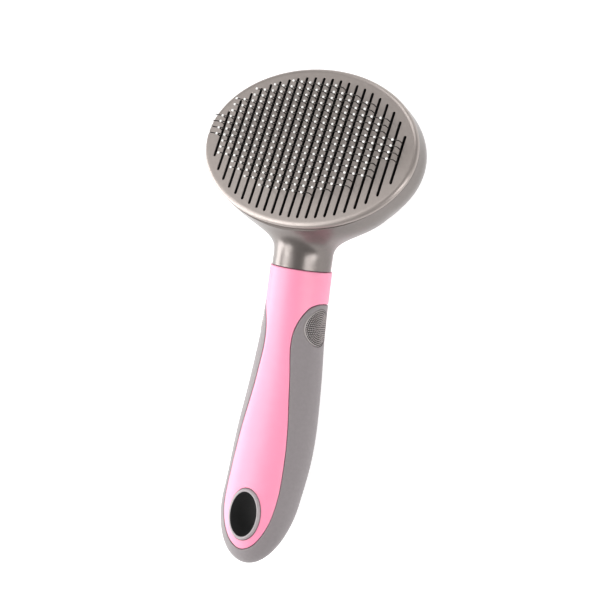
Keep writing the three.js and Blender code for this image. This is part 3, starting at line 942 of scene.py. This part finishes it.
def hollow_tool():
    """What is cut from the solid head: its inside and all above its rim, but not the bosses."""
    wall, power = SHELL["wall"], SHELL["power"]
    half_x, half_y, depth = SHELL["half_x"] - wall, SHELL["half_y"] - wall, SHELL["depth"] - wall
    count, wide, above = 128, 20, 8
    rings = []
    for t in np.linspace(0.03, math.pi / 2, 22):
        ring = math.sin(t) ** (2 / power)
        drop = max(math.cos(t), 0) ** (2 / power)
        rings.append(oval(half_x * ring, half_y * ring, SHELL["straight_to"] - depth * drop, count))
    rings.append(oval(half_x, half_y, SHELL["front"], count))
    rings.append(oval(half_x + wide, half_y + wide, SHELL["front"], count))
    rings.append(oval(half_x + wide, half_y + wide, above, count))
    tool = ring_stack(rings)
    boss = [(BOSS["radius"], -PAST_HEAD), (BOSS["radius"], BASE_REAR - BOSS["gap"])]
    for place in mirrored(BOSS["x"], BOSS["y"]):
        tool = cut(tool, turned(boss, place))
    return tool


def neck_end_tool():
    """Cuts the neck off square where the handle's collar meets it."""
    verts = []
    for along in (None, PAST_HANDLE):
        for z in (-PAST_HANDLE, PAST_HANDLE):
            for x in (-PAST_HANDLE, PAST_HANDLE):
                near = -SEAM["half_gap"] + SEAM_LEAN * z
                verts.append((x, -(near if along is None else along), z))
    faces = [(0, 1, 3, 2), (4, 6, 7, 5), (0, 4, 5, 1), (2, 3, 7, 6), (0, 2, 6, 4), (1, 5, 7, 3)]
    mesh = mesh_from(verts, faces)
    mesh.transform(HANDLE_IN_HEAD)
    return mesh


def rear_shell():
    low, high = (-53, -62, -44), (53, 38, 3)
    verts, faces = net(shell_distance, low, high, 0.75)
    verts = settle(shell_distance, verts)
    shell = cut(mesh_from(verts, faces), hollow_tool(), neck_end_tool())
    seat = [(BOSS["counterbore"], -PAST_HEAD), (BOSS["counterbore"], BOSS["land"]),
            (BOSS["bore"], BOSS["land"]), (BOSS["bore"], 0)]
    for place in mirrored(BOSS["x"], BOSS["y"]):
        shell = cut(shell, turned(seat, place))
    hole = KNOB["half_x"] + KNOB["clearance"], KNOB["half_y"] + KNOB["clearance"]
    shell = cut(shell, bar(*hole, -PAST_HEAD, KNOB["hole_front"]))
    radius, length, chamfer = NECK["tang_radius"], NECK["tang_length"], 0.5
    tang = turned([(radius - chamfer, length), (radius, length - chamfer), (radius, -2)])
    tang.transform(Matrix.Rotation(math.radians(90), 4, "X"))
    tang.transform(Matrix.Translation((0, 0, NECK["tang_drop"])))
    tang.transform(HANDLE_IN_HEAD)
    return joined(shell, tang)


def push_button():
    def foot(lift):
        return lambda x, y: rest_height(y) + lift

    edge = 0.4
    rings = [
        oval(FLANGE["half_x"] - edge, FLANGE["half_y"] - edge, FLANGE["front"]),
        oval(FLANGE["half_x"], FLANGE["half_y"], FLANGE["front"] - edge),
        oval(FLANGE["half_x"], FLANGE["half_y"], FLANGE["rear"]),
        oval(STOP["half_x"], STOP["half_y"], FLANGE["rear"]),
        oval(STOP["half_x"], STOP["half_y"], STOP["rear"]),
        oval(KNOB["half_x"], KNOB["half_y"], STOP["rear"]),
    ]
    radius = KNOB["edge"]
    turns = np.radians([0, 15, 30, 45, 60, 75, 90])
    rounding = [(radius * (1 - math.cos(t)), radius * (1 - math.sin(t))) for t in turns]
    for inset, lift in rounding + list(KNOB_RING):
        rings.append(oval(KNOB["half_x"] - inset, KNOB["half_y"] - inset, foot(lift)))
    button = ring_stack(rings)
    socket = (POST["width"] + 2 * POST["gap"], POST["length"] + 2 * POST["gap"], 2.2)
    for x, y in mirrored(POST["x"], POST["y"]):
        button = cut(button, block((x, y, FLANGE["front"] - 0.9), socket))
    radius, base, chamfer = SPIGOT["radius"], FLANGE["front"], SPIGOT["chamfer"]
    top = base + SPIGOT["height"]
    profile = [(radius, base - SPIGOT["sunk"]), (radius, top - chamfer), (radius - chamfer, top)]
    return joined(button, *[turned(profile, (side * SPRING["x"], 0)) for side in (-1, 1)])


def return_spring(side):
    turns = SPRING["turns"]
    count = 32 * turns + 1
    t = np.linspace(0, 1, count)
    angle = 2 * math.pi * turns * t
    around = np.stack([np.cos(angle), np.sin(angle), np.zeros(count)], -1)
    path = around * SPRING["radius"]
    path[:, 0] += side * SPRING["x"]
    path[:, 2] = SPRING["low"] + (SPRING["high"] - SPRING["low"]) * t
    return sweep(path, around, SPRING["wire"])


def screw(x, y, head_top, tip):
    """Pan head screw with a cross recess; the head is at the low end."""
    head, low = SCREW["head"], head_top - SCREW["head_thick"]
    profile = [(0.6, low), (1.3, low + 0.05), (1.9, low + 0.3), (head, low + 0.8), (head, head_top - 0.1)]
    profile += [(head - 0.1, head_top), (SCREW["shank"], head_top)]
    z = head_top + 0.3
    while z < tip - 0.6:
        profile += [(SCREW["shank"], z), (SCREW["shank"] + 0.18, z + 0.22), (SCREW["shank"], z + 0.44)]
        z += 0.6
    profile += [(0.3, tip)]
    shape = turned(profile, (x, y))
    length, width, depth = RECESS["length"], RECESS["width"], RECESS["depth"]
    for size in ((length, width, depth), (width, length, depth)):
        shape = cut(shape, block((x, y, low), size))
    return shape


# ---------- build ----------

add_piece("head_shell", rear_shell(), HEAD, SHELL_PAINTED_SHADE, "brush_body", ["rear_shell"])
add_piece("slotted_plate", face_plate(), HEAD, [PLATE_FINISH, SLOT_PAINTED_SHADE], "ejector",
          ["face_plate"])
for row in range(SLOT["count"]):
    number = f"{row + 1:02d}"
    add_piece(f"pins_{number}", pin_row(row), HEAD, [WIRE_FINISH, BEAD_FINISH], "brush_body",
              [f"pin_row_{number}"])
add_piece("clean_button", push_button(), HEAD, BUTTON_FINISH, "ejector", ["push_button"])
for side, name in ((1, "right"), (-1, "left")):
    spring = add_piece(f"spring_{name}", return_spring(side), HEAD, FIXING_FINISH,
                       "brush_body", [f"return_spring_{name}"])
    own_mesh(spring)
    add_piece(f"thumb_disc_{name}", thumb_pad(side), GRIP, [PAD_FINISH, FIELD_PAINTED_SHADE, DARK_PAINTED_SHADE],
              "brush_body", [f"thumb_pad_{name}"])
for number, (x, y) in enumerate(mirrored(BOSS["x"], BOSS["y"]), 1):
    fixing = screw(x, y, BOSS["land"] - SCREW["gap"], BASE_REAR + SCREW["bite"])
    add_piece(f"plate_screw_{number}", fixing, HEAD, FIXING_FINISH,
              "brush_body", [f"base_screw_{number}"])

add_piece("pink_handle", handle_core(), GRIP, PINK_FINISH, "brush_body", ["handle_core"])
add_piece("rubber_grip", grip_overmold(), GRIP, GRIP_FINISH, "brush_body", ["grip_overmold"])
add_piece("eyelet_ring", hanging_eyelet(), GRIP, [EYELET_FINISH, DARK_PAINTED_SHADE], "brush_body",
          ["hanging_eyelet"])
fixing = screw(0, -COLLAR_SCREW["along"], COLLAR_SCREW["land"] - SCREW["gap"], COLLAR_SCREW["tip"])
add_piece("collar_screw", fixing, GRIP, FIXING_FINISH, "brush_body", ["handle_screw"])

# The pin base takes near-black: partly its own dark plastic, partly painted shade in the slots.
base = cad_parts["pin_base"]
base.data.materials.clear()
base.data.materials.append(BASE_DARK_AND_SHADE)

# ---------- stage, light and camera ----------

floor_mesh = bpy.data.meshes.new("floor")
floor_mesh.from_pydata([(-4, -4, 0), (4, -4, 0), (4, 4, 0), (-4, 4, 0)], [], [(0, 1, 2, 3)])
floor = bpy.data.objects.new("floor", floor_mesh)
bpy.context.scene.collection.objects.link(floor)
floor.location.z = -0.0002
floor_mesh.materials.append(material(
    "pale_floor", (0.55, 0.55, 0.55, 1), (0.53, 0.53, 0.53, 1), 40, 0.8, 0.05, 0.02,
    Emission_Color=(1, 1, 1, 1), Emission_Strength=0.75))

world = bpy.data.worlds.new("studio")
bpy.context.scene.world = world
world.use_nodes = True
world.node_tree.nodes["Background"].inputs["Color"].default_value = (1, 1, 1, 1)
world.node_tree.nodes["Background"].inputs["Strength"].default_value = 0.2
bpy.context.scene.view_settings.view_transform = "Standard"


def softbox(name, target, turn, height, away, size, power):
    """A square area light, placed by its bearing and height in degrees from the target."""
    data = bpy.data.lights.new(name, "AREA")
    data.shape = "RECTANGLE"
    data.size, data.size_y = size
    data.energy = power
    light = bpy.data.objects.new(name, data)
    bpy.context.scene.collection.objects.link(light)
    a, e = math.radians(turn), math.radians(height)
    back = Vector((math.cos(a) * math.cos(e), math.sin(a) * math.cos(e), math.sin(e)))
    light.location = target + back * away
    light.rotation_euler = back.to_track_quat("Z", "Y").to_euler()


middle = Vector((0, 0, 0.03))
softbox("left_low", middle, 198, 12, 1.1, (0.9, 0.5), 9)
softbox("left_high", middle, 195, 50, 1.2, (0.6, 0.6), 3.5)
softbox("front_left", middle, 225, 40, 1.2, (0.6, 0.6), 5.2)
softbox("overhead", middle, 175, 62, 1.2, (1.0, 1.0), 4.5)
softbox("back", middle, 90, 30, 1.2, (0.8, 0.5), 5)
softbox("right", middle, -15, 25, 1.2, (0.4, 1.0), 7.5)

camera_data = bpy.data.cameras.new("camera")
camera_data.sensor_width = 36
camera_data.lens = 91.25
camera = bpy.data.objects.new("camera", camera_data)
bpy.context.scene.collection.objects.link(camera)
YAW, PITCH, ROLL = (math.radians(a) for a in (31.44, 9.57, 17.79))
TARGET, DISTANCE = Vector((19.12, -62.25, 0)), 591.0
back = Vector((math.sin(YAW) * math.cos(PITCH), -math.sin(PITCH), math.cos(YAW) * math.cos(PITCH)))
level = Vector((math.cos(YAW), 0, -math.sin(YAW)))
rise = back.cross(level)
right = level * math.cos(ROLL) + rise * math.sin(ROLL)
up = rise * math.cos(ROLL) - level * math.sin(ROLL)
turn_matrix = Matrix((right, up, back)).transposed().to_4x4()
tilt = Matrix.Rotation(-HEAD_TILT, 4, "X")
camera.matrix_world = Matrix.Translation(HEAD @ (TARGET + back * DISTANCE)) @ tilt @ turn_matrix
camera_data.clip_start = 0.01
camera_data.clip_end = 20
bpy.context.scene.camera = camera
